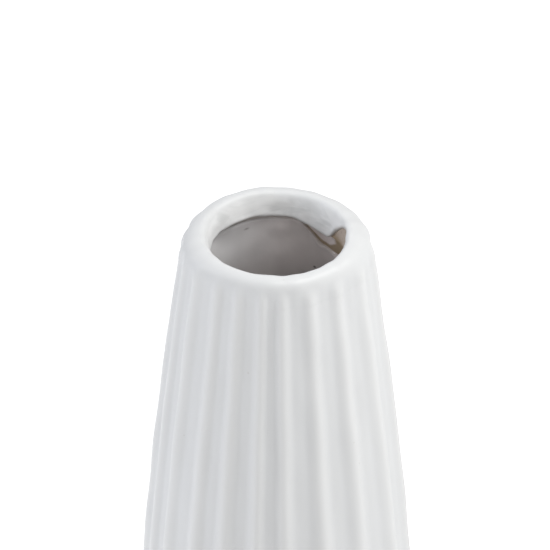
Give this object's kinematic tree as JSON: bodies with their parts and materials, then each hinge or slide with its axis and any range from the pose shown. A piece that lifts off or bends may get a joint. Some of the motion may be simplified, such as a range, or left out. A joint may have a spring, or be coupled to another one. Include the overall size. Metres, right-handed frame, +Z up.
{
  "type": "flower vase",
  "caption": "Tall tapered ceramic vase with a fluted body, a rounded thick lip around a narrow mouth, and a glazed hollow inside.",
  "frame": {"origin": "centre of the foot ring, on the plane that the vase stands on", "axes": "+Z up along the vase's axis of symmetry, through the mouth; one flute ridge faces -Y"},
  "size_m": [0.0688, 0.0687, 0.212],
  "materials": {
    "stoneware": "unglazed fired clay, matt and slightly grainy",
    "white_glaze": "satin matt white glaze",
    "grey_glaze": "glossy warm grey glaze"
  },
  "bodies": {
    "root": {"clay_body": "stoneware", "outer_glaze": "white_glaze", "inner_glaze": "grey_glaze", "underside_glaze": "grey_glaze"}
  },
  "joints": []
}
